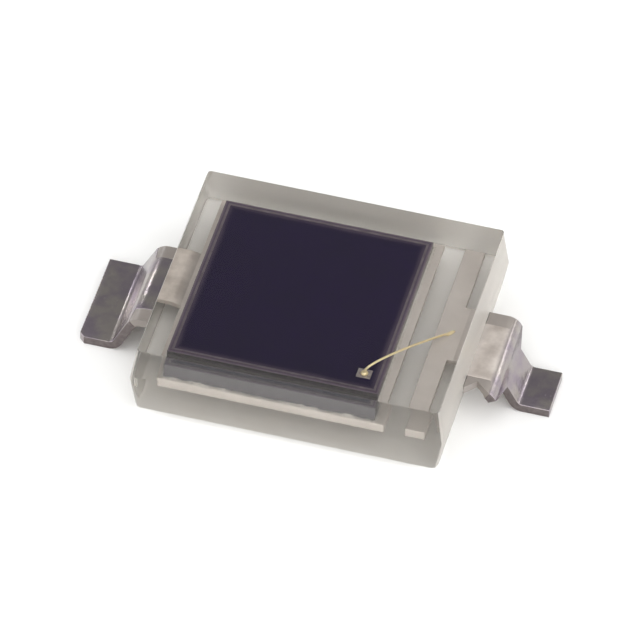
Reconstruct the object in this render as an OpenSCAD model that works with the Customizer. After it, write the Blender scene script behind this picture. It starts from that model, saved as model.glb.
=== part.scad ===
// Surface-mount photodiode: a silicon chip on a stamped leadframe, moulded into clear epoxy.
// The origin is on the board, under the middle of the leads' span, with +Z up.
// The anode's narrow lead points along +X and the cathode's wide lead along -X.

/* [Moulding] */
// Length of the moulding at its parting line, along the leads
body_l = 4.44; // [4.4:0.02:4.8]
// Width of the moulding at its parting line
body_w = 3.84; // [3.6:0.02:4.4]
// Height of the moulding
body_h = 1.1; // [1.06:0.02:1.4]
// Gap between the board and the underside of the moulding
stand_off = 0.08; // [0.04:0.01:0.14]
// Draft of the two end faces, where the leads come out
end_draft = 9; // [3:0.5:10]
// Draft of the two side faces
side_draft = 4.5; // [2:0.5:8]
// Distance of the broken-off gate's scar from the moulding's front cathode corner
gate_in = 0.1; // [0.06:0.01:0.3]

/* [Leadframe] */
// Thickness of the leadframe strip
strip_t = 0.13; // [0.1:0.01:0.13]
// Height of the strip's middle above the board, at the parting line
strip_z = 0.615; // [0.58:0.005:0.65]
// Radius of the bends outside the moulding, at the middle of the strip
bend_r = 0.15; // [0.12:0.01:0.17]
// Radius of the tighter bends inside the moulding, at the middle of the strip
joggle_r = 0.07; // [0.07:0.005:0.09]
// Width of both necks, where they leave the moulding
neck_w = 1.06; // [0.9:0.02:1.2]
// Width of the stubs left on the leads where the dam bar was trimmed off
stub_w = 1.54; // [1.4:0.02:1.6]
// Offset of the necks and the stubs from the middle of the part
lead_y = -0.02; // [-0.04:0.01:0.04]
// Depth that the die pad is pressed below the leads
pad_downset = 0.06; // [0.04:0.01:0.08]
// Depth that the anode's plate is pressed below the leads
plate_downset = 0.04; // [0.03:0.01:0.06]
// Distance of the die pad from the moulding's cathode end, at the parting line
pad_in = 0.37; // [0.34:0.01:0.4]
// Length of the die pad
pad_l = 3.185; // [3.16:0.005:3.2]
// Width of the die pad, and of the plate that takes the wire
pad_w = 3.26; // [3.26:0.02:3.3]
// Gap between the die pad and the anode's plate
pad_gap = 0.295; // [0.24:0.005:0.3]
// Length of the anode's plate, along the leads
plate_l = 0.28; // [0.26:0.01:0.32]

/* [Cathode lead] */
// Reach of the cathode's toe from the origin
cathode_reach = 3.3; // [3.24:0.01:3.4]
// Slope of the cathode lead between its two bends
cathode_slope = 64; // [58:1:75]
// Straight length of the cathode lead outside the moulding, before its first bend
cathode_run = 0.15; // [0.1:0.01:0.2]
// Distance of the dam bar's stubs from the moulding
cathode_stub = 0.24; // [0.2:0.01:0.28]
// Width of the cathode's foot
cathode_foot_w = 1.6; // [1.5:0.02:1.7]
// Offset of the cathode's foot from the middle of the part
cathode_foot_y = 0.02; // [-0.04:0.01:0.04]
// Size of the corner clipped off the cathode's toe
toe_clip = 0.08; // [0.03:0.01:0.15]

/* [Anode lead] */
// Reach of the anode's toe from the origin
anode_reach = 3.3; // [3.24:0.01:3.4]
// Slope of the anode lead between its two bends
anode_slope = 60; // [55:1:70]
// Straight length of the anode lead outside the moulding, before its first bend
anode_run = 0.26; // [0.22:0.01:0.3]
// Distance of the dam bar's stubs from the moulding
anode_stub = 0.31; // [0.27:0.01:0.33]
// Width of the anode's foot
anode_foot_w = 0.78; // [0.6:0.02:0.9]
// Offset of the anode's foot from the middle of the part
anode_foot_y = 0.03; // [-0.04:0.01:0.04]
// Depth of the break in the resin flash on the front of the anode's neck
flash_break = 0.17; // [0.1:0.01:0.2]

/* [Chip] */
// Length of the silicon chip, along the leads
chip_l = 2.965; // [2.9:0.005:2.98]
// Width of the silicon chip, across the leads
chip_w = 3.1; // [2.9:0.02:3.1]
// Thickness of the chip
chip_t = 0.22; // [0.18:0.01:0.24]
// Margin of the die pad beside the chip, on the cathode's side
chip_in = 0.085; // [0.06:0.005:0.11]
// Offset of the chip from the middle of the part
chip_y = -0.035; // [-0.04:0.005:0.04]
// Thickness of the silver glue under the chip
glue_t = 0.02; // [0.01:0.005:0.03]
// How far the glue is squeezed out past the chip
glue_out = 0.03; // [0.01:0.005:0.03]
// Distance of the guard ring from the chip's edge
ring_in = 0.05; // [0.03:0.01:0.08]
// Width of the guard ring
ring_w = 0.03; // [0.02:0.01:0.04]
// Thickness of the guard ring and the bond pad
film_t = 0.01; // [0.005:0.005:0.015]

/* [Bond wire] */
// Diameter of the gold wire
wire_d = 0.038; // [0.025:0.001:0.05]
// Distance of the ball from the chip's anode edge
ball_in = 0.275; // [0.24:0.005:0.4]
// Distance of the ball from the chip's front edge
ball_front = 0.335; // [0.2:0.005:0.4]
// Diameter of the ball at the chip's end
ball_d = 0.11; // [0.08:0.01:0.13]
// How far the wire is pulled up over its ball before it turns to the plate
loop_h = 0.26; // [0.2:0.01:0.3]

/* [Hidden] */

// Colours, as they look under plain light
epoxy_colour = [0.80, 0.79, 0.75, 0.5];
tin_colour = [0.70, 0.68, 0.68];
glue_colour = [0.62, 0.61, 0.60];
chip_colour = [0.13, 0.11, 0.17];
ring_colour = [0.42, 0.38, 0.46];
pad_colour = [0.86, 0.84, 0.80];
gold_colour = [0.90, 0.76, 0.45];

// The moulding sits a little towards the cathode, because the anode lead is the longer one outside
body_x = -0.055;
body_top = stand_off + body_h;
past = 1;

// Heights up through the stack, from the leads' upper face to the top of the chip
strip_top = strip_z + strip_t / 2;
plate_top = strip_top - plate_downset;
pad_top = strip_top - pad_downset;
glue_top = pad_top + glue_t;
chip_top = glue_top + chip_t;

// Places along the leadframe, from the cathode's side to the anode's
body_end = body_l / 2;
pad_left = body_x - body_end + pad_in;
pad_right = pad_left + pad_l;
plate_left = pad_right + pad_gap;
plate_right = plate_left + plate_l;
chip_x = pad_left + chip_in + chip_l / 2;

// The wire's ends: the ball near the chip's front right corner, the stitch on the anode's plate
ball_at = [chip_x + chip_l / 2 - ball_in, chip_y - chip_w / 2 + ball_front];
stitch_in = 0.05;
stitch_at = [plate_right - stitch_in, 0];
bond_pad_l = 0.2;
bond_pad_w = 0.17;
wire_sides = 10;
wire_steps = 14;

// Length of the straight stretch between two equal and opposite bends that shift a strip up or down
function slope_run(shift, angle, radius) = (shift - 2 * radius * (1 - cos(angle))) / sin(angle);

// Distance that the same two bends and the stretch between them cover along the strip
function slope_reach(shift, angle, radius) =
    2 * radius * sin(angle) + slope_run(shift, angle, radius) * cos(angle);

// Drop of a lead from the parting line to the board, and the slopes of the two joggles inside the moulding
lead_drop = strip_z - strip_t / 2;
bend_steps = 10;
pad_joggle = 25;
plate_joggle = 30;

// Cathode, measured outwards from the origin: moulding's end, stubs, and the bends' places and steps
cathode_face = body_end - body_x;
cathode_bar = cathode_face + cathode_stub;
cathode_joggle_end = -pad_left + slope_reach(pad_downset, pad_joggle, joggle_r);
cathode_bend = cathode_face + cathode_run;
cathode_foot = cathode_bend + slope_reach(lead_drop, cathode_slope, bend_r);
cathode_start = [-pad_right, strip_z - pad_downset];
cathode_steps = [
    [pad_l, pad_joggle, joggle_r],
    [slope_run(pad_downset, pad_joggle, joggle_r), -pad_joggle, joggle_r],
    [cathode_bend - cathode_joggle_end, -cathode_slope, bend_r],
    [slope_run(lead_drop, cathode_slope, bend_r), cathode_slope, bend_r],
    [cathode_reach - cathode_foot, 0, bend_r]
];

// Anode, in the same way, with a short tail of the plate before its joggle
plate_tail = 0.08;
anode_face = body_end + body_x;
anode_bar = anode_face + anode_stub;
anode_joggle_end = plate_right + plate_tail + slope_reach(plate_downset, plate_joggle, joggle_r);
anode_bend = anode_face + anode_run;
anode_foot = anode_bend + slope_reach(lead_drop, anode_slope, bend_r);
anode_start = [plate_left, strip_z - plate_downset];
anode_steps = [
    [plate_l + plate_tail, plate_joggle, joggle_r],
    [slope_run(plate_downset, plate_joggle, joggle_r), -plate_joggle, joggle_r],
    [anode_bend - anode_joggle_end, -anode_slope, bend_r],
    [slope_run(lead_drop, anode_slope, bend_r), anode_slope, bend_r],
    [anode_reach - anode_foot, 0, bend_r]
];

// Shoulders of the anode's lead, between its stubs and its foot
shoulder_at = anode_bend + bend_r;
shoulder_l = 0.065;

// Resin flash beside the necks: a little thinner and narrower than the strip it ran out along
flash_step = 0.005;
flash_t = strip_t - 2 * flash_step;
flash_w = stub_w - 2 * flash_step;
flash_root = 0.05;
flash_lap = 0.02;

function heading_of(a) = [cos(a), sin(a)];
function normal_of(a) = [-sin(a), cos(a)];

// Points along one face of a bent strip. Each step runs straight and then turns, upwards if positive.
function face_points(steps, offset, at, heading = 0, i = 0) =
    i == len(steps) ? [] :
    let (
        run = steps[i][0],
        turn = steps[i][1],
        middle_r = steps[i][2],
        side = sign(turn),
        corner = at + run * heading_of(heading),
        centre = corner + side * middle_r * normal_of(heading),
        radius = middle_r - side * offset,
        arc = [
            for (k = [0 : bend_steps])
                centre - side * radius * normal_of(heading + turn * k / bend_steps)
        ],
        straight_end = [corner + offset * normal_of(heading)],
        next = turn == 0 ? corner : centre - side * middle_r * normal_of(heading + turn)
    )
    concat(turn == 0 ? straight_end : arc, face_points(steps, offset, next, heading + turn, i + 1));

function reversed(points) = [for (i = [len(points) - 1 : -1 : 0]) points[i]];

// A strip as wide as the die pad, bent by the steps, whose middle starts at a place along X and a height
module bent_strip(steps, start, thickness = strip_t) {
    half = thickness / 2;
    upper = concat([start + [0, half]], face_points(steps, half, start));
    lower = concat([start - [0, half]], face_points(steps, -half, start));
    rotate([90, 0, 0])
        linear_extrude(pad_w, center = true)
            polygon(concat(upper, reversed(lower)));
}

// Stamps an outline out of a bent strip. Each place is a distance along X, a width and the width's middle.
module stamped(places) {
    front = [for (p = places) [p[0], p[2] - p[1] / 2]];
    back = [for (p = places) [p[0], p[2] + p[1] / 2]];
    intersection() {
        children();
        translate([0, 0, -past])
            linear_extrude(3 * past)
                polygon(concat(front, reversed(back)));
    }
}

// Straight-sided section of the moulding: widest at the parting line, and drawn in above and below it
module drafted_section(width, draft) {
    top_half = width / 2 - (body_top - strip_z) * tan(draft);
    bottom_half = width / 2 - (strip_z - stand_off) * tan(draft);
    polygon([
        [-bottom_half, stand_off], [bottom_half, stand_off], [width / 2, strip_z],
        [top_half, body_top], [-top_half, body_top], [-width / 2, strip_z]
    ]);
}

module moulding_block() {
    translate([body_x, 0, 0])
        intersection() {
            rotate([90, 0, 0])
                linear_extrude(body_w + past, center = true) drafted_section(body_l, end_draft);
            rotate([90, 0, 90])
                linear_extrude(body_l + past, center = true) drafted_section(body_w, side_draft);
        }
}

// Scar of the broken-off gate: a short groove across the parting line on the front face
module gate_scar() {
    scar_h = 0.18;
    scar_side = 0.04;
    translate([body_x - body_end + gate_in, -body_w / 2, strip_z])
        rotate([0, 0, 45])
            cube([scar_side, scar_side, scar_h], center = true);
}

// Resin that ran out beside the cathode's neck as far as the dam bar
module cathode_flash() {
    mirror([1, 0, 0])
        stamped([
            [cathode_face - flash_root, flash_w, lead_y],
            [cathode_bar + flash_lap, flash_w, lead_y]
        ])
            bent_strip(cathode_steps, cathode_start, flash_t);
}

// The same beside the anode's neck, with a piece broken out of its front edge
module anode_flash() {
    break_at = anode_face + anode_stub / 2;
    stamped([
        [anode_face - flash_root, flash_w, lead_y],
        [anode_face, flash_w, lead_y],
        [break_at, flash_w - flash_break, lead_y + flash_break / 2],
        [anode_bar, flash_w, lead_y],
        [anode_bar + flash_lap, flash_w, lead_y]
    ])
        bent_strip(anode_steps, anode_start, flash_t);
}

// Clear epoxy, moulded round the finished leadframe, so its inside is the shape of what it holds
module epoxy_body() {
    color(epoxy_colour)
        difference() {
            union() {
                moulding_block();
                cathode_flash();
                anode_flash();
            }
            gate_scar();
            cathode_lead();
            anode_lead();
            die_attach();
            silicon_chip();
            guard_ring();
            bond_pad();
            bond_wire();
        }
}

// Die pad, joggle, neck, stubs and gull-wing foot, stamped and bent from one strip
module cathode_lead() {
    color(tin_colour)
        mirror([1, 0, 0]) {
            bent_strip([[pad_l, 0, bend_r]], cathode_start);
            stamped([
                [0, neck_w, lead_y],
                [cathode_bar, neck_w, lead_y],
                [cathode_bar, stub_w, lead_y],
                [cathode_foot, cathode_foot_w, cathode_foot_y],
                [cathode_reach - toe_clip, cathode_foot_w, cathode_foot_y],
                [cathode_reach + toe_clip, cathode_foot_w - 2 * toe_clip, cathode_foot_y + toe_clip]
            ])
                bent_strip(cathode_steps, cathode_start);
        }
}

// Wire plate, joggle, neck, stubs, shoulders and narrow gull-wing foot, from the same strip
module anode_lead() {
    color(tin_colour) {
        bent_strip([[plate_l, 0, bend_r]], anode_start);
        stamped([
            [plate_left + plate_l / 2, neck_w, lead_y],
            [anode_bar, neck_w, lead_y],
            [anode_bar, stub_w, lead_y],
            [shoulder_at, stub_w, lead_y],
            [shoulder_at + shoulder_l, anode_foot_w, anode_foot_y],
            [anode_reach + past, anode_foot_w, anode_foot_y]
        ])
            bent_strip(anode_steps, anode_start);
    }
}

// Silver-filled glue that fixes the chip and carries its current to the pad
module die_attach() {
    glue_l = chip_l + 2 * glue_out;
    glue_w = chip_w + 2 * glue_out;
    color(glue_colour)
        translate([chip_x - glue_l / 2, chip_y - glue_w / 2, pad_top])
            cube([glue_l, glue_w, glue_t]);
}

// Silicon chip, sawn from its wafer
module silicon_chip() {
    color(chip_colour)
        translate([chip_x - chip_l / 2, chip_y - chip_w / 2, glue_top])
            cube([chip_l, chip_w, chip_t]);
}

// Thin metal line round the light-sensitive area
module guard_ring() {
    outer = [chip_l, chip_w] - 2 * [ring_in, ring_in];
    inner = outer - 2 * [ring_w, ring_w];
    color(ring_colour)
        translate([chip_x, chip_y, chip_top])
            linear_extrude(film_t)
                difference() {
                    square(outer, center = true);
                    square(inner, center = true);
                }
}

// Aluminium pad that the wire's ball is welded to
module bond_pad() {
    color(pad_colour)
        translate([ball_at[0] - bond_pad_l / 2, ball_at[1] - bond_pad_w / 2, chip_top])
            cube([bond_pad_l, bond_pad_w, film_t]);
}

// Cubic curve of the wire's loop, as distance along its span and height
function loop_point(t, p) =
    pow(1 - t, 3) * p[0] + 3 * t * pow(1 - t, 2) * p[1] + 3 * pow(t, 2) * (1 - t) * p[2] + pow(t, 3) * p[3];
function loop_slope(t, p) =
    pow(1 - t, 2) * (p[1] - p[0]) + 2 * t * (1 - t) * (p[2] - p[1]) + pow(t, 2) * (p[3] - p[2]);

// Gold wire: a squashed ball on the chip, a loop over the chip's edge and a flat stitch on the plate
module bond_wire() {
    wire_r = wire_d / 2;
    ball_r = ball_d / 2;
    ball_h = 0.06;
    ball_base = chip_top + film_t;
    stitch_h = 0.02;
    stitch_l = 0.08;
    stitch_w = 0.06;
    weld_depth = 0.0005;
    span = norm(stitch_at - ball_at) - stitch_l;
    along = (stitch_at - ball_at) / norm(stitch_at - ball_at);
    loop_start = [0, ball_base + ball_h];
    loop_end = [span, plate_top + wire_r + stitch_h / 2];
    neck_lean = 0.01;
    crest_at = 0.5;
    crest_h = 0.4;
    loop = [
        loop_start, loop_start + [neck_lean, loop_h],
        loop_start + [crest_at * span, crest_h * loop_h], loop_end
    ];
    // Shape of the ball, as shares of its height and of its radius
    ball_shape = [[0, 0.8], [0.25, 1], [0.6, 0.85], [0.8, 0.55]];
    // Each section is its place along the span, its height, half width, half height and direction
    ball_sections = [
        for (b = ball_shape) [0, ball_base + b[0] * ball_h, b[1] * ball_r, b[1] * ball_r, 90]
    ];
    loop_sections = [
        for (k = [0 : wire_steps])
            let (
                t = k / wire_steps,
                p = loop_point(t, loop),
                d = loop_slope(t, loop)
            )
            [p[0], p[1], wire_r, wire_r, atan2(d[1], d[0])]
    ];
    stitch_sections = [
        [span + stitch_l / 2, plate_top, stitch_w / 2, stitch_h, 0],
        [span + stitch_l, plate_top, stitch_w / 2, stitch_h / 2, 0]
    ];
    sections = concat(ball_sections, loop_sections, stitch_sections);
    points = [
        for (s = sections, k = [0 : wire_sides - 1])
            let (
                a = 360 * k / wire_sides,
                across = s[2] * cos(a),
                out = s[3] * sin(a),
                u = s[0] - out * sin(s[4]),
                z = max(plate_top - weld_depth, s[1] + out * cos(s[4]))
            )
            [
                ball_at[0] + u * along[0] - across * along[1],
                ball_at[1] + u * along[1] + across * along[0],
                z
            ]
    ];
    last = (len(sections) - 1) * wire_sides;
    sides = [
        for (r = [0 : len(sections) - 2], k = [0 : wire_sides - 1])
            let (
                a = r * wire_sides + k,
                b = r * wire_sides + (k + 1) % wire_sides
            )
            [a, b, b + wire_sides, a + wire_sides]
    ];
    start_cap = [for (k = [wire_sides - 1 : -1 : 0]) k];
    end_cap = [for (k = [0 : wire_sides - 1]) last + k];
    color(gold_colour)
        polyhedron(points = points, faces = concat([start_cap], sides, [end_cap]), convexity = 4);
}

epoxy_body();
cathode_lead();
anode_lead();
die_attach();
silicon_chip();
guard_ring();
bond_pad();
bond_wire();
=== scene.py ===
import math

import bmesh
import bpy
from mathutils import Matrix, Vector, noise


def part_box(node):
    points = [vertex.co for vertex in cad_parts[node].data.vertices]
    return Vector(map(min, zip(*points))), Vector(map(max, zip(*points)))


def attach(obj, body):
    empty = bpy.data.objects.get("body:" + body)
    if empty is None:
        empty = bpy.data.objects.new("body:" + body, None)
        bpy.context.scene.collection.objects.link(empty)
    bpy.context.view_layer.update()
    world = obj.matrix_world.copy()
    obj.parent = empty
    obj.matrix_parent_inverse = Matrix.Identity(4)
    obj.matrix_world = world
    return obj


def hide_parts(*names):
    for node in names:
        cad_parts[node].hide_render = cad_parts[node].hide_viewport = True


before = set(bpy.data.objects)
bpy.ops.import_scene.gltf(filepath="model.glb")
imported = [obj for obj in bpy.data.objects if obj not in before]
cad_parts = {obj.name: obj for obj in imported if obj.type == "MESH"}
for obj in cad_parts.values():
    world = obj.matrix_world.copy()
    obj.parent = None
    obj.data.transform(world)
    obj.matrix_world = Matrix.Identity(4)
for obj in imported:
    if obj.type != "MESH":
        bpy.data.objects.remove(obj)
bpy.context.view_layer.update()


# Cathode lead: die pad, joggle, neck and wide gull-wing foot, all one strip of copper alloy.
# It was stamped flat, bent in a press and trimmed from its frame, which left a dam-bar stub on each side.
# Every piece is modelled in millimetres and brought to metres when its shape is done.
MM = 0.001
CLOSE = 1e-4
MERGE = 0.003
STRIP_T = 0.13
EDGE_ROLL = 0.01
EDGE_ANGLE = math.radians(40)
BEND_R = 0.15
JOGGLE_R = 0.07
BEND_STEPS = 8
NECK_W = 1.06
STUB_W = 1.54
STUB_CORNER = 0.02
LEAD_Y = -0.02
PAD_MARGIN = 0.085
PAD_DOWNSET = 0.06
PAD_JOGGLE = math.radians(25)
CATHODE_SLOPE = math.radians(64)
CATHODE_RUN = 0.15
CATHODE_STUB = 0.24
CATHODE_FOOT_W = 1.6
CATHODE_FOOT_Y = 0.02
TOE_CLIP = 0.08


def box_mm(node):
    low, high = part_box(node)
    return low / MM, high / MM


def add_piece(name, primitive, size, centre):
    """A primitive of the given size and place, with both in its mesh, left in object mode."""
    bpy.ops.object.select_all(action="DESELECT")
    primitive(size=1, location=centre)
    piece = bpy.context.object
    piece.name = name
    piece.data.name = name
    piece.scale = size
    bpy.ops.object.transform_apply(location=True, rotation=True, scale=True)
    return piece


def pick_points(piece, test):
    """In edit mode, selects the points that pass the test, with the edges and faces between them."""
    bpy.ops.mesh.select_mode(type="VERT")
    bpy.ops.mesh.select_all(action="DESELECT")
    mesh = bmesh.from_edit_mesh(piece.data)
    for point in mesh.verts:
        point.select = test(point.co)
    mesh.select_flush_mode()
    bmesh.update_edit_mesh(piece.data)


def extrude_to(shift):
    bpy.ops.mesh.extrude_region_move(TRANSFORM_OT_translate={"value": shift})


def slope_run(shift, angle, radius):
    """Straight length between two equal and opposite bends that move a strip up or down by shift."""
    return (shift - 2 * radius * (1 - math.cos(angle))) / math.sin(angle)


def slope_reach(shift, angle, radius):
    """Distance that those two bends and the stretch between them cover along the strip."""
    return 2 * radius * math.sin(angle) + slope_run(shift, angle, radius) * math.cos(angle)


def press_strip(name, side, start, width, steps):
    """The middle face of a strip that runs outwards from start; a step goes straight, then turns."""
    out, height = start
    heading = 0.0
    piece = None
    for run, turn, radius in steps:
        shift = Vector((side * run * math.cos(heading), 0, run * math.sin(heading)))
        if piece is None:
            middle = (side * (out + run / 2), 0, height)
            piece = add_piece(name, bpy.ops.mesh.primitive_plane_add, (run, width, 1), middle)
            bpy.ops.object.mode_set(mode="EDIT")
        else:
            pick_points(piece, lambda p: abs(p.x - side * out) + abs(p.z - height) < CLOSE)
            extrude_to(shift)
        out += side * shift.x
        height += shift.z
        if turn:
            pick_points(piece, lambda p: abs(p.x - side * out) + abs(p.z - height) < CLOSE)
            way = math.copysign(radius, turn)
            centre_out = out - way * math.sin(heading)
            centre_height = height + way * math.cos(heading)
            bpy.ops.mesh.spin(
                steps=BEND_STEPS, angle=side * turn,
                center=(side * centre_out, 0, centre_height), axis=(0, 1, 0),
            )
            heading += turn
            out = centre_out + way * math.sin(heading)
            height = centre_height - way * math.cos(heading)
    return piece


def stamp(piece, side, places):
    """Trims a strip's two edges to an outline; a place is a distance out, a width and the width's middle."""
    for out, _, _ in places:
        bpy.ops.mesh.select_all(action="SELECT")
        bpy.ops.mesh.bisect(plane_co=(side * out, 0, 0), plane_no=(1, 0, 0))
    bpy.ops.mesh.select_all(action="SELECT")
    bpy.ops.mesh.remove_doubles(threshold=MERGE)
    mesh = bmesh.from_edit_mesh(piece.data)
    for point in mesh.verts:
        edge = math.copysign(0.5, point.co.y)
        for (out_0, width_0, middle_0), (out_1, width_1, middle_1) in zip(places, places[1:]):
            share = (side * point.co.x - out_0) / (out_1 - out_0)
            if -CLOSE < share < 1 + CLOSE:
                width = width_0 + share * (width_1 - width_0)
                point.co.y = middle_0 + share * (middle_1 - middle_0) + edge * width
    bmesh.update_edit_mesh(piece.data)


def widen(piece, half, inner, outer):
    """Draws the neck's two edges out to a half width, between two places along the strip."""
    for edge in (-1, 1):
        from_y = LEAD_Y + edge * NECK_W / 2
        pick_points(piece, lambda p: abs(p.y - from_y) < CLOSE and inner - CLOSE < p.x < outer + CLOSE)
        extrude_to((0, edge * half - from_y, 0))


def apply_modifier(piece, kind, **settings):
    modifier = piece.modifiers.new(kind.title(), kind)
    for key, value in settings.items():
        setattr(modifier, key, value)
    bpy.context.view_layer.objects.active = piece
    bpy.ops.object.modifier_apply(modifier=modifier.name)


def give_thickness(piece, thickness):
    """Leaves edit mode with the strip's face made into a closed wall, half to each side."""
    bpy.ops.mesh.select_all(action="SELECT")
    bpy.ops.mesh.remove_doubles(threshold=CLOSE)
    bpy.ops.mesh.normals_make_consistent(inside=False)
    bpy.ops.object.mode_set(mode="OBJECT")
    apply_modifier(piece, "SOLIDIFY", thickness=thickness, offset=0, use_even_offset=True)


def roll_edges(piece, width):
    apply_modifier(
        piece, "BEVEL", width=width, segments=3, limit_method="ANGLE",
        angle_limit=EDGE_ANGLE, use_clamp_overlap=False,
    )


def to_metres(piece, smooth_angle=35):
    """Brings a finished piece from millimetres to metres, with its place and size in its mesh."""
    bpy.ops.object.select_all(action="DESELECT")
    piece.select_set(True)
    bpy.context.view_layer.objects.active = piece
    piece.scale = (MM, MM, MM)
    bpy.ops.object.transform_apply(location=True, rotation=True, scale=True)
    bpy.ops.object.shade_smooth_by_angle(angle=math.radians(smooth_angle))


low, high = box_mm("cathode_lead")
strip_top = high.z
strip_mid = strip_top - STRIP_T / 2
lead_drop = strip_mid - STRIP_T / 2
pad_half = high.y
pad_right = high.x
pad_left = box_mm("silicon_chip")[0].x - PAD_MARGIN
cathode_bar = -box_mm("epoxy_body")[0].x
cathode_face = cathode_bar - CATHODE_STUB
cathode_bend = cathode_face + CATHODE_RUN
joggle_end = -pad_left + slope_reach(PAD_DOWNSET, PAD_JOGGLE, JOGGLE_R)
foot_start = cathode_bend + slope_reach(lead_drop, CATHODE_SLOPE, BEND_R)
cathode = press_strip(
    "cathode_lead_strip", -1, (-pad_right, strip_mid - PAD_DOWNSET), NECK_W,
    [
        (pad_right - pad_left, PAD_JOGGLE, JOGGLE_R),
        (slope_run(PAD_DOWNSET, PAD_JOGGLE, JOGGLE_R), -PAD_JOGGLE, JOGGLE_R),
        (cathode_bend - joggle_end, -CATHODE_SLOPE, BEND_R),
        (slope_run(lead_drop, CATHODE_SLOPE, BEND_R), CATHODE_SLOPE, BEND_R),
        (-low.x - foot_start, 0, 0),
    ],
)
stamp(
    cathode, -1,
    [
        (-pad_right, NECK_W, LEAD_Y),
        (cathode_bar, NECK_W, LEAD_Y),
        (cathode_bar + STUB_CORNER, STUB_W, LEAD_Y),
        (foot_start, CATHODE_FOOT_W, CATHODE_FOOT_Y),
        (-low.x - TOE_CLIP, CATHODE_FOOT_W, CATHODE_FOOT_Y),
        (-low.x, CATHODE_FOOT_W - TOE_CLIP, CATHODE_FOOT_Y + TOE_CLIP / 2),
    ],
)
widen(cathode, pad_half, pad_left, pad_right)
give_thickness(cathode, STRIP_T)
roll_edges(cathode, EDGE_ROLL)

# Sockets of a Mix node: its factor, its two colours and their mix, and its two plain values.
MIX_FACTOR = 0
COLOUR_A = 6
COLOUR_B = 7
MIXED = 2
VALUE_A = 2
VALUE_B = 3


def srgb(code):
    """Linear colour of an sRGB hex code."""
    parts = [int(code[i : i + 2], 16) / 255 for i in (1, 3, 5)]
    return [c / 12.92 if c <= 0.04045 else ((c + 0.055) / 1.055) ** 2.4 for c in parts] + [1]


def new_material(name):
    material = bpy.data.materials.new(name)
    material.use_nodes = True
    material.node_tree.nodes.clear()
    return material


def add_node(tree, kind, inputs=None, **settings):
    """Adds a node with its settings; an input is a value, or a socket to link from."""
    made = tree.nodes.new(kind)
    for key, value in settings.items():
        setattr(made, key, value)
    for key, value in (inputs or {}).items():
        if isinstance(value, bpy.types.NodeSocket):
            tree.links.new(value, made.inputs[key])
        else:
            made.inputs[key].default_value = value
    return made


def give_material(piece, *materials):
    piece.data.materials.clear()
    for material in materials:
        piece.data.materials.append(material)


# Spot-plated strip: dull, frosted silver where the epoxy holds it, with painted shade that makes it blotchier
# and darker towards the moulding's ends, where more light reaches the necks.
# Outside it was dipped in tin, which looks smoother and darker, and starts later on the anode's side.
# The frosted silver scatters light like a pale paint, so it is only partly metallic.
ANODE_STUB = 0.31
ANODE_BARE = 0.36
DIP_FADE = (-0.05, 0.03)
END_SHADE_FADE = (-0.25, -0.1)
END_BLOTCH_PATCH = (0.35, 0.65)
TIN_PATCH = (0.38, 0.62)
MOTTLE = 0.3
WAVES = 0.11
GRAIN = 0.03
GRAIN_SHARE = 0.08
SILVER = ("#c3bcb7", "#d3ccc7")
# Painted shade: a darker, blotchier pair of silver colours for the ends of the moulding.
END_SHADED_SILVER = ("#b6aca4", "#dcd3cb")
SILVER_METAL = 0.35
SILVER_ROUGH = 0.5
TIN = ("#998f98", "#aaa39f")
TIN_ROUGH = (0.2, 0.3)

plated_strip = new_material("silver_and_tin_plated_copper")
tree = plated_strip.node_tree
place = add_node(tree, "ShaderNodeTexCoord").outputs["Object"]
apart = add_node(tree, "ShaderNodeSeparateXYZ", {0: place})
moulded_l = cathode_face + box_mm("epoxy_body")[1].x - ANODE_STUB
moulded_mid = (moulded_l / 2 - cathode_face) * MM
moulded_half = moulded_l / 2 * MM
dip_mid = moulded_mid + ANODE_BARE / 2 * MM
dip_half = moulded_half + ANODE_BARE / 2 * MM
from_mid = add_node(tree, "ShaderNodeMath", {0: apart.outputs["X"], 1: dip_mid}, operation="SUBTRACT")
off_mid = add_node(tree, "ShaderNodeMath", {0: from_mid.outputs[0]}, operation="ABSOLUTE")
outside = add_node(
    tree, "ShaderNodeMapRange",
    {
        "Value": off_mid.outputs[0],
        "From Min": dip_half + DIP_FADE[0] * MM, "From Max": dip_half + DIP_FADE[1] * MM,
    },
)
mottle = add_node(tree, "ShaderNodeTexNoise", {"Vector": place, "Scale": 1 / (MOTTLE * MM), "Detail": 4})
waves = add_node(tree, "ShaderNodeTexNoise", {"Vector": place, "Scale": 1 / (WAVES * MM), "Detail": 2})
grain = add_node(tree, "ShaderNodeTexNoise", {"Vector": place, "Scale": 1 / (GRAIN * MM), "Detail": 3})
tin = add_node(tree, "ShaderNodeValToRGB", {"Fac": mottle.outputs["Fac"]})
for stop, position, colour in zip(tin.color_ramp.elements, TIN_PATCH, TIN):
    stop.position = position
    stop.color = srgb(colour)
silver = add_node(
    tree, "ShaderNodeMix",
    {MIX_FACTOR: mottle.outputs["Fac"], COLOUR_A: srgb(SILVER[0]), COLOUR_B: srgb(SILVER[1])},
    data_type="RGBA",
)
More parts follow.
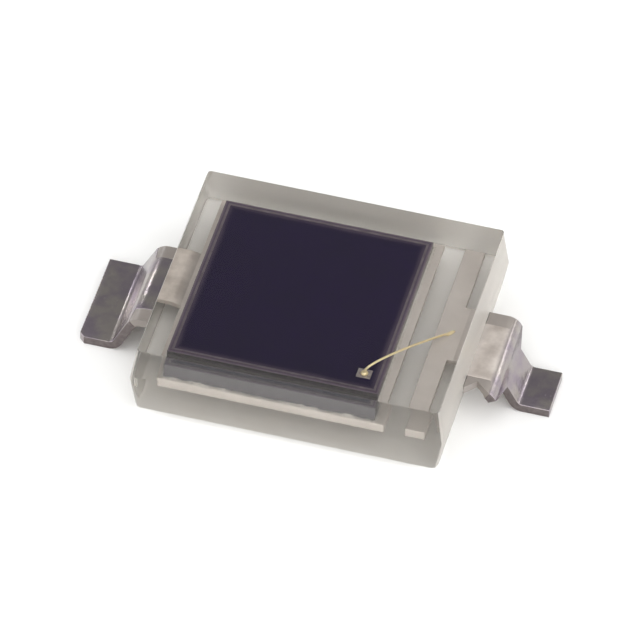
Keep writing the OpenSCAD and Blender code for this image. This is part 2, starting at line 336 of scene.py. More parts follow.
# Painted shade: towards the moulding's ends the silver takes the darker, blotchier colours, to offset the
# stronger light on the necks.
near_end = add_node(
    tree, "ShaderNodeMapRange",
    {
        "Value": off_mid.outputs[0],
        "From Min": moulded_half + END_SHADE_FADE[0] * MM, "From Max": moulded_half + END_SHADE_FADE[1] * MM,
    },
)
end_blotch = add_node(
    tree, "ShaderNodeMapRange",
    {"Value": mottle.outputs["Fac"], "From Min": END_BLOTCH_PATCH[0], "From Max": END_BLOTCH_PATCH[1]},
)
end_shaded_silver = add_node(
    tree, "ShaderNodeMix",
    {MIX_FACTOR: end_blotch.outputs[0], COLOUR_A: srgb(END_SHADED_SILVER[0]), COLOUR_B: srgb(END_SHADED_SILVER[1])},
    data_type="RGBA",
)
spot_plating = add_node(
    tree, "ShaderNodeMix",
    {
        MIX_FACTOR: near_end.outputs[0],
        COLOUR_A: silver.outputs[MIXED], COLOUR_B: end_shaded_silver.outputs[MIXED],
    },
    data_type="RGBA",
)
plate_colour = add_node(
    tree, "ShaderNodeMix",
    {MIX_FACTOR: outside.outputs[0], COLOUR_A: spot_plating.outputs[MIXED], COLOUR_B: tin.outputs[0]},
    data_type="RGBA",
)
tin_rough = add_node(
    tree, "ShaderNodeMapRange",
    {"Value": grain.outputs["Fac"], "To Min": TIN_ROUGH[0], "To Max": TIN_ROUGH[1]},
)
plate_rough = add_node(
    tree, "ShaderNodeMix",
    {MIX_FACTOR: outside.outputs[0], VALUE_A: SILVER_ROUGH, VALUE_B: tin_rough.outputs[0]},
)
plate_metal = add_node(
    tree, "ShaderNodeMapRange", {"Value": outside.outputs[0], "To Min": SILVER_METAL, "To Max": 1.0}
)
relief = add_node(
    tree, "ShaderNodeMath",
    {0: grain.outputs["Fac"], 1: GRAIN_SHARE, 2: waves.outputs["Fac"]}, operation="MULTIPLY_ADD",
)
bump = add_node(
    tree, "ShaderNodeBump", {"Height": relief.outputs[0], "Strength": 0.3, "Distance": 0.015 * MM}
)
shader = add_node(
    tree, "ShaderNodeBsdfPrincipled",
    {
        "Base Color": plate_colour.outputs[MIXED], "Metallic": plate_metal.outputs[0],
        "Roughness": plate_rough.outputs[0], "Normal": bump.outputs[0],
    },
)
add_node(tree, "ShaderNodeOutputMaterial", {"Surface": shader.outputs[0]})

# Sheared edges: copper alloy where the punch went through after plating, torn and dulled to a dark grey.
SHEARED = 0.75
TEAR = 0.06
TORN_METAL = ("#584f4f", "#8d8584")

sheared_edge = new_material("sheared_copper_alloy")
tree = sheared_edge.node_tree
place = add_node(tree, "ShaderNodeTexCoord").outputs["Object"]
tear = add_node(tree, "ShaderNodeTexNoise", {"Vector": place, "Scale": 1 / (TEAR * MM), "Detail": 4})
tear_colour = add_node(
    tree, "ShaderNodeMix",
    {MIX_FACTOR: tear.outputs["Fac"], COLOUR_A: srgb(TORN_METAL[0]), COLOUR_B: srgb(TORN_METAL[1])},
    data_type="RGBA",
)
bump = add_node(
    tree, "ShaderNodeBump", {"Height": tear.outputs["Fac"], "Strength": 0.5, "Distance": 0.01 * MM}
)
shader = add_node(
    tree, "ShaderNodeBsdfPrincipled",
    {
        "Base Color": tear_colour.outputs[MIXED], "Metallic": 1.0, "Roughness": 0.4,
        "Normal": bump.outputs[0],
    },
)
add_node(tree, "ShaderNodeOutputMaterial", {"Surface": shader.outputs[0]})


def plate_lead(piece):
    """Plates a lead, and bares the edges that were sheared outside the moulding."""
    give_material(piece, plated_strip, sheared_edge)
    for face in piece.data.polygons:
        out = abs(face.center.x - moulded_mid / MM) - moulded_half / MM
        face.material_index = 1 if out > 0 and abs(face.normal.y) > SHEARED else 0


plate_lead(cathode)
to_metres(cathode)
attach(cathode, "root")
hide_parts("cathode_lead")


# Anode lead: the plate that takes the wire, a small joggle, the neck, dam-bar stubs and the narrow foot.
# It was stamped and bent from the same strip as the cathode lead and has the same plating.
ANODE_SLOPE = math.radians(60)
ANODE_RUN = 0.26
ANODE_FOOT_W = 0.78
ANODE_FOOT_Y = 0.03
PLATE_L = 0.28
PLATE_TAIL = 0.08
PLATE_DOWNSET = 0.04
PLATE_JOGGLE = math.radians(30)
SHOULDER_L = 0.065

low, high = box_mm("anode_lead")
plate_right = low.x + PLATE_L
plate_top = strip_top - PLATE_DOWNSET
anode_bar = box_mm("epoxy_body")[1].x
anode_face = anode_bar - ANODE_STUB
anode_bend = anode_face + ANODE_RUN
shoulder_at = anode_bend + BEND_R
joggle_end = plate_right + PLATE_TAIL + slope_reach(PLATE_DOWNSET, PLATE_JOGGLE, JOGGLE_R)
foot_start = anode_bend + slope_reach(lead_drop, ANODE_SLOPE, BEND_R)
anode = press_strip(
    "anode_lead_strip", 1, (low.x, strip_mid - PLATE_DOWNSET), NECK_W,
    [
        (PLATE_L, 0, 0),
        (PLATE_TAIL, PLATE_JOGGLE, JOGGLE_R),
        (slope_run(PLATE_DOWNSET, PLATE_JOGGLE, JOGGLE_R), -PLATE_JOGGLE, JOGGLE_R),
        (anode_bend - joggle_end, -ANODE_SLOPE, BEND_R),
        (slope_run(lead_drop, ANODE_SLOPE, BEND_R), ANODE_SLOPE, BEND_R),
        (high.x - foot_start, 0, 0),
    ],
)
stamp(
    anode, 1,
    [
        (low.x, NECK_W, LEAD_Y),
        (anode_bar, NECK_W, LEAD_Y),
        (anode_bar + STUB_CORNER, STUB_W, LEAD_Y),
        (shoulder_at, STUB_W, LEAD_Y),
        (shoulder_at + SHOULDER_L, ANODE_FOOT_W, ANODE_FOOT_Y),
        (high.x, ANODE_FOOT_W, ANODE_FOOT_Y),
    ],
)
widen(anode, high.y, low.x, plate_right)
give_thickness(anode, STRIP_T)
roll_edges(anode, EDGE_ROLL)
plate_lead(anode)
to_metres(anode)
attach(anode, "root")
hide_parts("anode_lead")


# Die attach: silver-filled glue between the chip and the die pad, which carries the chip's current.
# A drop of it was spread by the chip's weight, so it stands out unevenly and climbs the chip's foot.
GLUE_CUTS = 48
GLUE_TUCK = 0.004
GLUE_CLIMB = 0.03
CLIMB_USUAL = 0.4
CLIMB_LEAST = 0.1
GLUE_SPREAD = 0.02
RIM_SHARE = 0.4
GLUE_LUMP = 0.12
FINE_LUMP = GLUE_LUMP / 3
FINE_SHARE = 0.5
FACING_UP = 0.5


def pick_faces(piece, test):
    """In edit mode, selects the faces whose normal passes the test."""
    bpy.ops.mesh.select_mode(type="FACE")
    bpy.ops.mesh.select_all(action="DESELECT")
    mesh = bmesh.from_edit_mesh(piece.data)
    for face in mesh.faces:
        face.select_set(test(face.normal))
    bmesh.update_edit_mesh(piece.data)


low, high = box_mm("die_attach")
chip_low, chip_high = box_mm("silicon_chip")
glue_size = high - low
glue_mid = (low + high) / 2
bare_rim = (glue_size.x - (chip_high.x - chip_low.x)) / 2
glue = add_piece("die_attach_glue", bpy.ops.mesh.primitive_cube_add, glue_size, glue_mid)
bpy.ops.object.mode_set(mode="EDIT")
bpy.ops.mesh.select_all(action="SELECT")
bpy.ops.mesh.subdivide(number_cuts=GLUE_CUTS)
pick_faces(glue, lambda normal: normal.z > FACING_UP)
bpy.ops.mesh.inset(thickness=bare_rim + GLUE_TUCK, depth=0)
bpy.ops.object.mode_set(mode="OBJECT")
for point in glue.data.vertices:
    lump = noise.noise(point.co / GLUE_LUMP) + FINE_SHARE * noise.noise(point.co / FINE_LUMP)
    off = point.co - glue_mid
    if abs(off.x) > glue_size.x / 2 - CLOSE or abs(off.y) > glue_size.y / 2 - CLOSE:
        outwards = Vector((off.x, off.y, 0)).normalized()
        point.co += outwards * max(0, GLUE_SPREAD * lump)
        point.co.z = min(point.co.z, low.z + (high.z - low.z) * RIM_SHARE)
    elif point.co.z > high.z - CLOSE:
        point.co.z += max(CLIMB_LEAST, CLIMB_USUAL + lump) * GLUE_CLIMB

# Silver-filled glue: pale grey with a dull sparkle.
# The flakes are drawn coarser than they are, so that they show.
FLAKE = 0.02
FLAKE_SILVER = ("#e6e3df", "#b5b0ab")

silver_glue = new_material("silver_filled_glue")
tree = silver_glue.node_tree
place = add_node(tree, "ShaderNodeTexCoord").outputs["Object"]
flakes = add_node(tree, "ShaderNodeTexVoronoi", {"Vector": place, "Scale": 1 / (FLAKE * MM)})
flake_colour = add_node(
    tree, "ShaderNodeMix",
    {
        MIX_FACTOR: flakes.outputs["Distance"],
        COLOUR_A: srgb(FLAKE_SILVER[0]), COLOUR_B: srgb(FLAKE_SILVER[1]),
    },
    data_type="RGBA",
)
bump = add_node(
    tree, "ShaderNodeBump", {"Height": flakes.outputs["Distance"], "Strength": 0.4, "Distance": 0.004 * MM}
)
shader = add_node(
    tree, "ShaderNodeBsdfPrincipled",
    {
        "Base Color": flake_colour.outputs[MIXED], "Metallic": 0.6, "Roughness": 0.5,
        "Normal": bump.outputs[0],
    },
)
add_node(tree, "ShaderNodeOutputMaterial", {"Surface": shader.outputs[0]})

give_material(glue, silver_glue)
to_metres(glue)
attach(glue, "root")
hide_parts("die_attach")


# Chip: silicon sawn square from its wafer and glued to the die pad.
# The top has a dark film that keeps light from being reflected, and shows purple towards its edges.
# The sawn sides are bare silicon.
CHIP_EDGE = 0.003
FILM_IOR = 1.7
SILICON_IOR = 3.8
EPOXY_IOR = 1.53

chip_size = chip_high - chip_low
chip_mid = (chip_low + chip_high) / 2
chip = add_piece("silicon_chip_sawn", bpy.ops.mesh.primitive_cube_add, chip_size, chip_mid)
roll_edges(chip, CHIP_EDGE)

# Dark interference film: blue-black in the middle and a greyer purple where it thins out towards the edge.
# A pale line is painted along the edge itself, for the saw's lane and as a painted highlight on the edge.
CLOUD = 0.6
CLOUD_DRIFT = 0.06
FILM_FADE = (-0.14, 0.01)
LANE_FADE = (-0.03, 0.01)
FILM = ("#160330", "#110427")
THIN_FILM = "#584d5c"
SAW_LANE_AND_HIGHLIGHT = "#80767c"

coated_face = new_material("silicon_with_antireflection_film")
tree = coated_face.node_tree
place = add_node(tree, "ShaderNodeTexCoord").outputs["Object"]
centred = add_node(tree, "ShaderNodeVectorMath", {0: place, 1: chip_mid * MM}, operation="SUBTRACT")
off_centre = add_node(tree, "ShaderNodeVectorMath", {0: centred.outputs[0]}, operation="ABSOLUTE")
past_edge = add_node(
    tree, "ShaderNodeVectorMath", {0: off_centre.outputs[0], 1: chip_size / 2 * MM}, operation="SUBTRACT"
)
apart = add_node(tree, "ShaderNodeSeparateXYZ", {0: past_edge.outputs[0]})
to_edge = add_node(
    tree, "ShaderNodeMath", {0: apart.outputs["X"], 1: apart.outputs["Y"]}, operation="MAXIMUM"
)
clouds = add_node(tree, "ShaderNodeTexNoise", {"Vector": place, "Scale": 1 / (CLOUD * MM), "Detail": 3})
uneven = add_node(
    tree, "ShaderNodeMath",
    {0: clouds.outputs["Fac"], 1: CLOUD_DRIFT * MM, 2: to_edge.outputs[0]}, operation="MULTIPLY_ADD",
)
thinning = add_node(
    tree, "ShaderNodeMapRange",
    {"Value": uneven.outputs[0], "From Min": FILM_FADE[0] * MM, "From Max": FILM_FADE[1] * MM},
    interpolation_type="SMOOTHSTEP",
)
hue_patch = add_node(
    tree, "ShaderNodeMix",
    {MIX_FACTOR: clouds.outputs["Fac"], COLOUR_A: srgb(FILM[0]), COLOUR_B: srgb(FILM[1])},
    data_type="RGBA",
)
film_colour = add_node(
    tree, "ShaderNodeMix",
    {MIX_FACTOR: thinning.outputs[0], COLOUR_A: hue_patch.outputs[MIXED], COLOUR_B: srgb(THIN_FILM)},
    data_type="RGBA",
)
# Painted highlight: a pale line along the chip's edge, over the saw's lane.
saw_lane_and_highlight = add_node(
    tree, "ShaderNodeMapRange",
    {"Value": to_edge.outputs[0], "From Min": LANE_FADE[0] * MM, "From Max": LANE_FADE[1] * MM},
)
top_colour = add_node(
    tree, "ShaderNodeMix",
    {MIX_FACTOR: saw_lane_and_highlight.outputs[0], COLOUR_A: film_colour.outputs[MIXED], COLOUR_B: srgb(SAW_LANE_AND_HIGHLIGHT)},
    data_type="RGBA",
)
rough = add_node(
    tree, "ShaderNodeMapRange", {"Value": clouds.outputs["Fac"], "To Min": 0.25, "To Max": 0.4}
)
shader = add_node(
    tree, "ShaderNodeBsdfPrincipled",
    {
        "Base Color": top_colour.outputs[MIXED], "Roughness": rough.outputs[0],
        "IOR": FILM_IOR / EPOXY_IOR,
    },
)
add_node(tree, "ShaderNodeOutputMaterial", {"Surface": shader.outputs[0]})

# Sawn silicon: dark grey with a dull shine, and fine lines along the blade's travel.
SAW_MARK = 0.35
SAW_STRETCH = 14
SAWN = ("#17121c", "#2c2432")

sawn_side = new_material("sawn_silicon")
tree = sawn_side.node_tree
place = add_node(tree, "ShaderNodeTexCoord").outputs["Object"]
along_cut = add_node(tree, "ShaderNodeMapping", {"Vector": place, "Scale": (1, 1, SAW_STRETCH)})
saw_lines = add_node(
    tree, "ShaderNodeTexNoise", {"Vector": along_cut.outputs[0], "Scale": 1 / (SAW_MARK * MM), "Detail": 4}
)
side_colour = add_node(
    tree, "ShaderNodeMix",
    {MIX_FACTOR: saw_lines.outputs["Fac"], COLOUR_A: srgb(SAWN[0]), COLOUR_B: srgb(SAWN[1])},
    data_type="RGBA",
)
bump = add_node(
    tree, "ShaderNodeBump", {"Height": saw_lines.outputs["Fac"], "Strength": 0.3, "Distance": 0.003 * MM}
)
shader = add_node(
    tree, "ShaderNodeBsdfPrincipled",
    {
        "Base Color": side_colour.outputs[MIXED], "Roughness": 0.2, "IOR": SILICON_IOR / EPOXY_IOR,
        "Specular IOR Level": 0.3, "Normal": bump.outputs[0],
    },
)
add_node(tree, "ShaderNodeOutputMaterial", {"Surface": shader.outputs[0]})

give_material(chip, coated_face, sawn_side)
for face in chip.data.polygons:
    on_top = face.normal.z > FACING_UP and face.center.z > chip_high.z - CLOSE
    face.material_index = 0 if on_top else 1
to_metres(chip, smooth_angle=20)
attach(chip, "root")
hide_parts("silicon_chip")


# Guard ring: a thin metal line round the light-sensitive area, etched from a film on the wafer.
# The solid keeps its own shape, and shows as a pale line that is worn by the etch here and there.
ETCH = 0.12
RING_FILM = ("#433a44", "#7d737a")

etched_film = new_material("etched_metal_film")
tree = etched_film.node_tree
place = add_node(tree, "ShaderNodeTexCoord").outputs["Object"]
etch = add_node(tree, "ShaderNodeTexNoise", {"Vector": place, "Scale": 1 / (ETCH * MM), "Detail": 4})
ring_tint = add_node(
    tree, "ShaderNodeMix",
    {MIX_FACTOR: etch.outputs["Fac"], COLOUR_A: srgb(RING_FILM[0]), COLOUR_B: srgb(RING_FILM[1])},
    data_type="RGBA",
)
shader = add_node(
    tree, "ShaderNodeBsdfPrincipled",
    {"Base Color": ring_tint.outputs[MIXED], "Metallic": 0.5, "Roughness": 0.45},
)
add_node(tree, "ShaderNodeOutputMaterial", {"Surface": shader.outputs[0]})
give_material(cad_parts["guard_ring"], etched_film)


# Bond pad: a small square of aluminium film that the wire's ball is welded to.
# The solid keeps its own shape, with the dull patches that the probe and the weld leave.
PROBE_MARK = 0.05
PAD_FILM = ("#5d555c", "#c4bcb8")

pad_film = new_material("aluminium_film")
tree = pad_film.node_tree
place = add_node(tree, "ShaderNodeTexCoord").outputs["Object"]
probe = add_node(tree, "ShaderNodeTexNoise", {"Vector": place, "Scale": 1 / (PROBE_MARK * MM), "Detail": 4})
pad_tint = add_node(
    tree, "ShaderNodeMix",
    {MIX_FACTOR: probe.outputs["Fac"], COLOUR_A: srgb(PAD_FILM[0]), COLOUR_B: srgb(PAD_FILM[1])},
    data_type="RGBA",
)
shader = add_node(
    tree, "ShaderNodeBsdfPrincipled",
    {"Base Color": pad_tint.outputs[MIXED], "Metallic": 1.0, "Roughness": 0.5},
)
add_node(tree, "ShaderNodeOutputMaterial", {"Surface": shader.outputs[0]})
give_material(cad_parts["bond_pad"], pad_film)


# Bond wire: drawn gold, melted to a ball that is welded to the bond pad, looped over the chip's edge
# and pressed to a flat stitch on the anode's plate. Ball, loop and stitch are one piece of metal.
# Heights of the drops and of the loop's crest are shares of the ball's and the loop's own height.
WIRE_D = 0.038
BALL_D = 0.11
BALL_H = 0.06
BALL_HALF = 0.6
BALL_MIDDLE = 0.35
NECK_HALF = 0.28
NECK_MIDDLE = 0.6
NECK_LEAN = 0.01
LOOP_H = 0.26
CREST_AT = 0.5
CREST_H = 0.4
STITCH_IN = 0.05
STITCH_L = 0.08
STITCH_W = 0.06
STITCH_H = 0.02
STITCH_BACK = 0.6

pad_low, pad_high = box_mm("bond_pad")
ball_at = Vector(((pad_low.x + pad_high.x) / 2, (pad_low.y + pad_high.y) / 2, pad_high.z))
stitch_at = Vector((plate_right - STITCH_IN, 0, plate_top))
flat_way = Vector((stitch_at.x - ball_at.x, stitch_at.y - ball_at.y, 0))
wire_turn = math.atan2(flat_way.y, flat_way.x)
span = flat_way.length - STITCH_L
along = flat_way.normalized()
up = Vector((0, 0, 1))
loop_start = ball_at + BALL_H * up
loop_end = ball_at + span * along
loop_end.z = plate_top + (WIRE_D + STITCH_H) / 2

bpy.ops.object.select_all(action="DESELECT")
bpy.ops.curve.primitive_bezier_curve_add()
wire = bpy.context.object
wire.data.bevel_depth = WIRE_D / 2
wire.data.bevel_resolution = 4
wire.data.resolution_u = 32
wire.data.use_fill_caps = True
first, last = wire.data.splines[0].bezier_points
for point in (first, last):
    point.handle_left_type = point.handle_right_type = "FREE"
first.co = first.handle_left = loop_start
first.handle_right = loop_start + NECK_LEAN * along + LOOP_H * up
last.co = last.handle_right = loop_end
last.handle_left = loop_start + CREST_AT * span * along + CREST_H * LOOP_H * up
bpy.ops.object.convert(target="MESH")
wire = bpy.context.object
wire.name = "bond_wire_loop"


def flat_drop(radii, centre, floor_z):
    """A squashed drop of metal that stands flat on floor_z, turned along the wire."""
    bpy.ops.mesh.primitive_uv_sphere_add(segments=24, ring_count=16, radius=1, location=centre)
    drop = bpy.context.object
    drop.scale = radii
    drop.rotation_euler.z = wire_turn
    bpy.ops.object.transform_apply(location=True, rotation=True, scale=True)
    bpy.ops.object.mode_set(mode="EDIT")
    bpy.ops.mesh.select_all(action="SELECT")
    bpy.ops.mesh.bisect(plane_co=(0, 0, floor_z), plane_no=(0, 0, 1), use_fill=True, clear_inner=True)
    bpy.ops.object.mode_set(mode="OBJECT")
    return drop


ball_radii = (BALL_D / 2, BALL_D / 2, BALL_HALF * BALL_H)
neck_radii = (NECK_HALF * BALL_D, NECK_HALF * BALL_D, BALL_HALF * BALL_H)
stitch_radii = (STITCH_L, STITCH_W / 2, STITCH_H)
ball = flat_drop(ball_radii, ball_at + BALL_MIDDLE * BALL_H * up, ball_at.z)
neck = flat_drop(neck_radii, ball_at + NECK_MIDDLE * BALL_H * up, ball_at.z)
stitch = flat_drop(stitch_radii, stitch_at - STITCH_BACK * STITCH_L * along, plate_top)
bpy.ops.object.select_all(action="DESELECT")
for piece in (ball, neck, stitch, wire):
    piece.select_set(True)
bpy.context.view_layer.objects.active = wire
bpy.ops.object.join()
wire.location = (0, 0, 0)

# Drawn gold: a pale yellow with a soft shine.
# The marks of the drawing die are drawn coarser than they are, so that they show.
DRAW_MARK = 0.04
GOLD = ("#ffe6a4", "#fff6d8")

drawn_gold = new_material("drawn_gold")
tree = drawn_gold.node_tree
place = add_node(tree, "ShaderNodeTexCoord").outputs["Object"]
draw_marks = add_node(
    tree, "ShaderNodeTexNoise", {"Vector": place, "Scale": 1 / (DRAW_MARK * MM), "Detail": 2}
)
gold_tint = add_node(
    tree, "ShaderNodeMix",
    {MIX_FACTOR: draw_marks.outputs["Fac"], COLOUR_A: srgb(GOLD[0]), COLOUR_B: srgb(GOLD[1])},
    data_type="RGBA",
)
rough = add_node(
    tree, "ShaderNodeMapRange", {"Value": draw_marks.outputs["Fac"], "To Min": 0.3, "To Max": 0.45}
)
shader = add_node(
    tree, "ShaderNodeBsdfPrincipled",
    {"Base Color": gold_tint.outputs[MIXED], "Metallic": 0.8, "Roughness": rough.outputs[0]},
)
add_node(tree, "ShaderNodeOutputMaterial", {"Surface": shader.outputs[0]})
give_material(wire, drawn_gold)
to_metres(wire, smooth_angle=60)
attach(wire, "root")
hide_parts("bond_wire")


# Moulding: clear epoxy, cast round the finished leadframe in a two-part mould, with draft above and below.
# Resin ran out beside the necks as far as the dam bar, and a piece of that flash has broken off.
# The mould is polished for the top, matt for the front, rough for the ends and back, and frosted underneath.
END_DRAFT = math.radians(9)
SIDE_DRAFT = math.radians(4.5)
EDGE_R = 0.1
BOTTOM_ROLL = 0.6
UPRIGHT_ROLL = 1.0
TOP_ROLL = 0.2
FLASH_STEP = 0.005
FLASH_ROOT = 0.05
FLASH_BREAK = 0.17
GATE_IN = 0.1
GATE_H = 0.18
GATE_SIDE = 0.04
FACING = 0.7

body_low, body_high = box_mm("epoxy_body")
body_low.x = -cathode_face
body_high.x = anode_face
body_size = body_high - body_low
body_mid = (body_low + body_high) / 2
body = add_piece("epoxy_moulding", bpy.ops.mesh.primitive_cube_add, body_size, body_mid)
bpy.ops.object.mode_set(mode="EDIT")
bpy.ops.mesh.select_all(action="SELECT")
bpy.ops.mesh.bisect(plane_co=(0, 0, strip_mid), plane_no=(0, 0, 1))
for rim_z in (body_low.z, body_high.z):
    pick_points(body, lambda p: abs(p.z - rim_z) < CLOSE)
    rise = abs(rim_z - strip_mid)
    bpy.ops.transform.resize(
        value=(
            1 - 2 * rise * math.tan(END_DRAFT) / body_size.x,
            1 - 2 * rise * math.tan(SIDE_DRAFT) / body_size.y,
            1,
        ),
        center_override=(body_mid.x, body_mid.y, rim_z),
    )
bpy.ops.object.mode_set(mode="OBJECT")
edge_weight = body.data.attributes.new("bevel_weight_edge", "FLOAT", "EDGE")
for edge in body.data.edges:
    heights = [body.data.vertices[i].co.z for i in edge.vertices]
    weight = UPRIGHT_ROLL if abs(heights[0] - heights[1]) > CLOSE else 0.0
    if max(heights) < body_low.z + CLOSE:
        weight = BOTTOM_ROLL
    if min(heights) > body_high.z - CLOSE:
        weight = TOP_ROLL
    edge_weight.data[edge.index].value = weight
apply_modifier(body, "BEVEL", width=EDGE_R, segments=4, limit_method="WEIGHT")

flash_w = STUB_W - 2 * FLASH_STEP
flash_at = {
    "cathode_flash": (-1, cathode_face, cathode_bend, cathode_bar, 0.0),
    "anode_flash": (1, anode_face, anode_bend, anode_bar, FLASH_BREAK),
}
for name, (side, face_out, bend, bar, broken) in flash_at.items():
    root = face_out - FLASH_ROOT
    droop = -math.asin((bar + STUB_CORNER - bend) / BEND_R)
    flash = press_strip(
        name, side, (root, strip_mid), flash_w, [(bend - face_out + FLASH_ROOT, droop, BEND_R)]
    )
    stamp(
        flash, side,
        [
            (root, flash_w, LEAD_Y),
            (face_out, flash_w, LEAD_Y),
            ((face_out + bar) / 2, flash_w - broken, LEAD_Y + broken / 2),
            (bar + STUB_CORNER, flash_w, LEAD_Y),
        ],
    )
    give_thickness(flash, STRIP_T - 2 * FLASH_STEP)
    apply_modifier(body, "BOOLEAN", object=flash, operation="UNION", solver="EXACT")
    bpy.data.objects.remove(flash)

scar = add_piece("gate_scar", bpy.ops.mesh.primitive_cube_add, (GATE_SIDE, GATE_SIDE, GATE_H), (0, 0, 0))
scar.rotation_euler.z = math.radians(45)
scar.location = (body_low.x + GATE_IN, body_low.y, strip_mid)
apply_modifier(body, "BOOLEAN", object=scar, operation="DIFFERENCE", solver="EXACT")
bpy.data.objects.remove(scar)

# Clear epoxy: looked through at the top and front, and blurred and milky where the mould was rough.
# It has a faint warm grey cast, and lets the lamps through to the pieces inside.
# The grit of the mould's faces is drawn coarser than it is, so that it shows.
FLOW = 0.8
GRIT = 0.06
POLISH = 0.3
TORN_FLASH = 0.12
EPOXY_CAST = "#e6e3dc"
LAMPLIT_EPOXY = "#fffdf9"


def epoxy_material(name, tints, transmission, rough_from, rough_to, mark):
    """Clear epoxy with the finish of one face of the mould, whose marks have a size in millimetres."""
    material = new_material(name)
    tree = material.node_tree
    place = add_node(tree, "ShaderNodeTexCoord").outputs["Object"]
    flow = add_node(tree, "ShaderNodeTexNoise", {"Vector": place, "Scale": 1 / (FLOW * MM), "Detail": 3})
    finish = add_node(tree, "ShaderNodeTexNoise", {"Vector": place, "Scale": 1 / (mark * MM), "Detail": 2})
    rough = add_node(
        tree, "ShaderNodeMapRange",
        {"Value": finish.outputs["Fac"], "To Min": rough_from, "To Max": rough_to},
    )
    tint = add_node(
        tree, "ShaderNodeMix",
        {MIX_FACTOR: flow.outputs["Fac"], COLOUR_A: srgb(tints[0]), COLOUR_B: srgb(tints[1])},
        data_type="RGBA",
    )
    bump = add_node(
        tree, "ShaderNodeBump", {"Height": finish.outputs["Fac"], "Strength": 0.1, "Distance": 0.002 * MM}
    )
    shader = add_node(
        tree, "ShaderNodeBsdfPrincipled",
        {
            "Base Color": tint.outputs[MIXED], "Roughness": rough.outputs[0], "IOR": EPOXY_IOR,
            "Transmission Weight": transmission, "Normal": bump.outputs[0],
        },
    )
    smoke = add_node(tree, "ShaderNodeVolumeAbsorption", {"Color": srgb(EPOXY_CAST), "Density": 40.0})
    let_through = add_node(tree, "ShaderNodeBsdfTransparent", {"Color": srgb(LAMPLIT_EPOXY)})
    lamp_ray = add_node(tree, "ShaderNodeLightPath").outputs["Is Shadow Ray"]
    surface = add_node(
        tree, "ShaderNodeMixShader", {0: lamp_ray, 1: shader.outputs[0], 2: let_through.outputs[0]}
    )
    add_node(
        tree, "ShaderNodeOutputMaterial", {"Surface": surface.outputs[0], "Volume": smoke.outputs[0]}
    )
    return material


polished = epoxy_material(
    "polished_clear_epoxy", ("#fcfbf8", "#fffefc"),
    transmission=1.0, rough_from=0.02, rough_to=0.05, mark=POLISH,
)
matt = epoxy_material(
    "matt_clear_epoxy", ("#faf7f0", "#fefcf7"),
    transmission=0.98, rough_from=0.12, rough_to=0.2, mark=GRIT,
)
coarse = epoxy_material(
    "rough_clear_epoxy", ("#f7f2ea", "#fdf9f3"),
    transmission=0.72, rough_from=0.4, rough_to=0.5, mark=GRIT,
)
frosted = epoxy_material(
    "frosted_clear_epoxy", ("#fbf9f5", "#ffffff"),
    transmission=0.0, rough_from=0.4, rough_to=0.5, mark=GRIT,
)
# Painted shade: the flash is a dark grey and nearly opaque, for the shadowed floor that shows through it.
shade_painted_flash = epoxy_material(
    "epoxy_flash_in_painted_shade", ("#7a7270", "#b9b1a9"),
    transmission=0.2, rough_from=0.25, rough_to=0.4, mark=TORN_FLASH,
)
finishes = [polished, matt, frosted, coarse, shade_painted_flash]
give_material(body, *finishes)
for face in body.data.polygons:
    if abs(face.center.x - body_mid.x) > body_size.x / 2 + CLOSE:
        finish = shade_painted_flash
    elif face.center.z > body_high.z - EDGE_R and face.normal.z > FACING:
        finish = polished
    elif face.center.z < body_low.z + EDGE_R and face.normal.z < -FACING:
        finish = frosted
    elif abs(face.normal.x) > FACING or face.normal.y > FACING:
        finish = coarse
    else:
        finish = matt
    face.material_index = finishes.index(finish)
to_metres(body, smooth_angle=20)
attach(body, "root")
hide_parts("epoxy_body")


# Floor: a plain sheet of white paper that the part lies on.
# It is wide enough to fill the view, and a hair below the feet so that no two faces fall together.
FLOOR_GAP = 0.002
FLOOR_SIZE = 3
PAPER = "#fbfbfa"

bpy.ops.object.select_all(action="DESELECT")
bpy.ops.mesh.primitive_plane_add(size=FLOOR_SIZE, location=(0, 0, -FLOOR_GAP * MM))
floor = bpy.context.object
floor.name = "white_floor"
white_sheet = new_material("white_sheet")
tree = white_sheet.node_tree
shader = add_node(tree, "ShaderNodeBsdfDiffuse", {"Color": srgb(PAPER)})
add_node(tree, "ShaderNodeOutputMaterial", {"Surface": shader.outputs[0]})
give_material(floor, white_sheet)


# Light: soft boxes in front, overhead and at both sides, and two small ones low at the back, in a white room.
# Each has its place and its width and height in metres, and its power in watts, and points at the part.
# The room is darker where the chip and the feet mirror it to the camera, so that they stay dark.
SOFT_BOXES = {
    "front_light": ((0.10, -0.30, 0.16), (0.24, 0.14), 0.30),
    "overhead_light": ((0.02, -0.02, 0.34), (0.24, 0.24), 0.21),
    "right_light": ((0.33, -0.05, 0.13), (0.36, 0.22), 0.32),
    "left_light": ((-0.33, -0.08, 0.13), (0.36, 0.22), 0.32),
    "back_right_light": ((0.21, 0.245, 0.136), (0.14, 0.06), 0.08),
    "back_left_light": ((-0.20, 0.245, 0.15), (0.06, 0.05), 0.06),
}
MIRRORED_WAY = (-0.16, 0.697, 0.699)
DARK_FROM = 0.35
DARKEST_FROM = 0.95
ROOM_LIGHT = 1.12
ROOM_DARK = 0.34

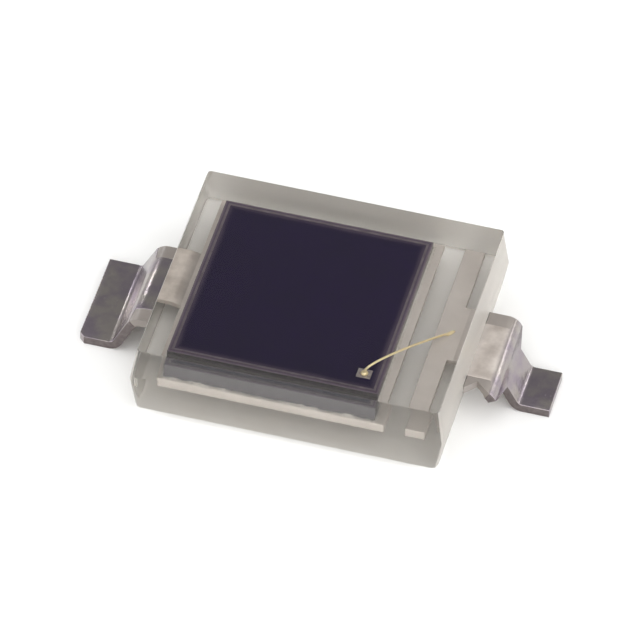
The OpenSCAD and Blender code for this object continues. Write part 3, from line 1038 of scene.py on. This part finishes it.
for name, (lamp_at, lamp_size, power) in SOFT_BOXES.items():
    lamp_data = bpy.data.lights.new(name, "AREA")
    lamp_data.shape = "RECTANGLE"
    lamp_data.size, lamp_data.size_y = lamp_size
    lamp_data.energy = power
    lamp = bpy.data.objects.new(name, lamp_data)
    bpy.context.scene.collection.objects.link(lamp)
    lamp.location = lamp_at
    lamp.rotation_euler = (-Vector(lamp_at)).to_track_quat("-Z", "Y").to_euler()

world = bpy.data.worlds.new("soft_room")
bpy.context.scene.world = world
world.use_nodes = True
world.node_tree.nodes.clear()
tree = world.node_tree
way_out = add_node(tree, "ShaderNodeTexCoord").outputs["Generated"]
nearness = add_node(tree, "ShaderNodeVectorMath", {0: way_out, 1: MIRRORED_WAY}, operation="DOT_PRODUCT")
room_light = add_node(
    tree, "ShaderNodeMapRange",
    {
        "Value": nearness.outputs["Value"], "From Min": DARK_FROM, "From Max": DARKEST_FROM,
        "To Min": ROOM_LIGHT, "To Max": ROOM_DARK,
    },
)
room = add_node(
    tree, "ShaderNodeBackground", {"Color": (1, 1, 1, 1), "Strength": room_light.outputs[0]}
)
add_node(tree, "ShaderNodeOutputWorld", {"Surface": room.outputs[0]})


# Camera: a long lens, well back, at the photograph's viewing angle and with its slight tilt.
# Its distance and the point that it aims at are in millimetres, like the pieces.
AZIMUTH = math.radians(12.943)
ELEVATION = math.radians(44.309)
ROLL = math.radians(2.519)
DISTANCE = 114.04
LENS = 465.5
AIM = Vector((-0.055, 0, 0.64))
AIM_RIGHT = -0.0136
AIM_UP = -0.0258

toward = Vector((
    -math.sin(AZIMUTH) * math.cos(ELEVATION),
    math.cos(AZIMUTH) * math.cos(ELEVATION),
    -math.sin(ELEVATION),
))
level = Vector((math.cos(AZIMUTH), math.sin(AZIMUTH), 0))
over = level.cross(toward)
right = math.cos(ROLL) * level + math.sin(ROLL) * over
upright = right.cross(toward)
aim = AIM + AIM_RIGHT * right + AIM_UP * upright
camera_data = bpy.data.cameras.new("camera")
camera_data.lens = LENS
camera_data.sensor_width = 36
camera_data.clip_start = 0.001
camera = bpy.data.objects.new("camera", camera_data)
bpy.context.scene.collection.objects.link(camera)
facing = Matrix((right, upright, -toward)).transposed().to_4x4()
camera.matrix_world = Matrix.Translation((aim - toward * DISTANCE) * MM) @ facing
bpy.context.scene.camera = camera
bpy.context.scene.view_settings.view_transform = "Standard"
